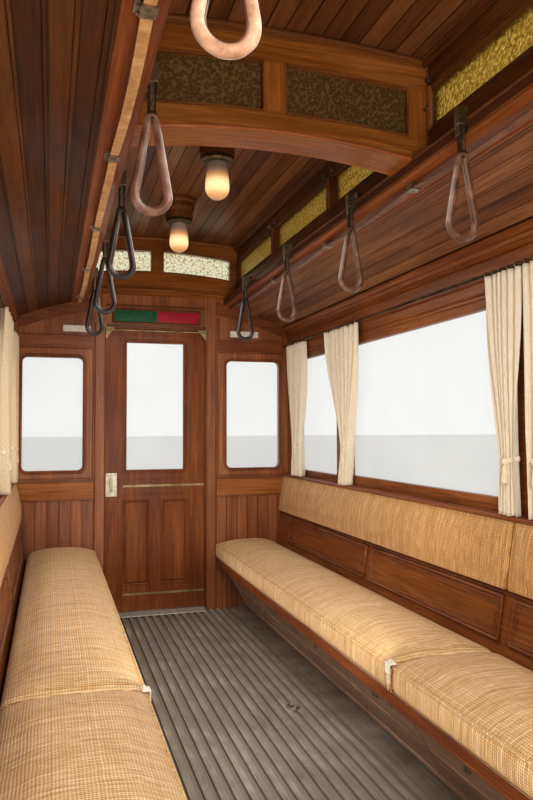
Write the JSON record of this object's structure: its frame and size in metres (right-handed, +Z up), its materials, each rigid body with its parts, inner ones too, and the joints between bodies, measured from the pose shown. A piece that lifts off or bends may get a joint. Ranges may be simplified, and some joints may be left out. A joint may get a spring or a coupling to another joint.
{
  "type": "tram saloon",
  "caption": "Wooden tram saloon: hollow passenger body with long benches, windows, sliding end doors, hand straps, curtains, lamps and a clerestory roof.",
  "frame": {"origin": "centre of the base, on the plane of the sole bars' undersides", "axes": "+X to the right side, +Y to the front end, +Z up"},
  "size_m": [2.08, 5.72, 2.848],
  "materials": {
    "mahogany": "varnished",
    "ceiling_wood": "varnished matchboard",
    "arch_wood": "varnished",
    "floor_wood": "worn, bare",
    "underframe_paint": "painted timber",
    "cane": "woven cane cloth",
    "curtain_cloth": "plain woven cotton",
    "brass": "polished, worn",
    "steel": "worn bare metal",
    "strap_leather": "stitched, waxed",
    "strip_wood": "varnished",
    "clear_glass": "flat",
    "amber_glass": "hammered",
    "pale_glass": "rippled",
    "dark_glass": "hammered",
    "lamp_glass": "frosted",
    "board_paint": "satin, blank"
  },
  "bodies": {
    "saloon": {"back_cushions_left": "cane", "back_cushions_right": "cane", "bench_back_left": "mahogany", "bench_back_right": "mahogany", "bench_base_left": "mahogany", "bench_base_right": "mahogany", "bulkhead_front": "mahogany", "bulkhead_glass": "clear_glass", "bulkhead_rear": "mahogany", "clerestory_end_front": "arch_wood", "clerestory_end_rear": "arch_wood", "clerestory_glass": "amber_glass", "clerestory_roof": "ceiling_wood", "clerestory_side_left": "ceiling_wood", "clerestory_side_right": "ceiling_wood", "cross_bearers": "underframe_paint", "curtain_rods": "brass", "curtains_left": "curtain_cloth", "curtains_right": "curtain_cloth", "door_guide_front": "steel", "door_guide_rear": "steel", "door_rods": "brass", "door_sill_front": "steel", "door_sill_rear": "steel", "end_lights": "pale_glass", "floor": "floor_wood", "hand_straps": "strap_leather", "lamp_bases": "mahogany", "lamp_globes": "lamp_glass", "lamp_rings": "steel", "middle_frame": "arch_wood", "middle_lights": "dark_glass", "roof_deck_left": "ceiling_wood", "roof_deck_right": "ceiling_wood", "route_boards": "board_paint", "seat_cushions_left": "cane", "seat_cushions_right": "cane", "side_wall_left": "mahogany", "side_wall_right": "mahogany", "sole_bars": "underframe_paint", "strap_clips": "steel", "strip_brackets": "steel", "strip_rails": "strip_wood", "window_glass_left": "clear_glass", "window_glass_right": "clear_glass", "window_sashes_left": "mahogany", "window_sashes_right": "mahogany"},
    "door_front": {"door_leaf_front": "mahogany", "door_glass_front": "clear_glass", "door_fittings_front": "brass"},
    "door_rear": {"door_leaf_rear": "mahogany", "door_glass_rear": "clear_glass", "door_fittings_rear": "brass"}
  },
  "joints": [
    {"name": "door_front_slide", "type": "slide", "parent": "saloon", "child": "door_front", "axis": [1, 0, 0], "range_m": [0, 0.6]},
    {"name": "door_rear_slide", "type": "slide", "parent": "saloon", "child": "door_rear", "axis": [-1, 0, 0], "range_m": [0, 0.6]}
  ]
}
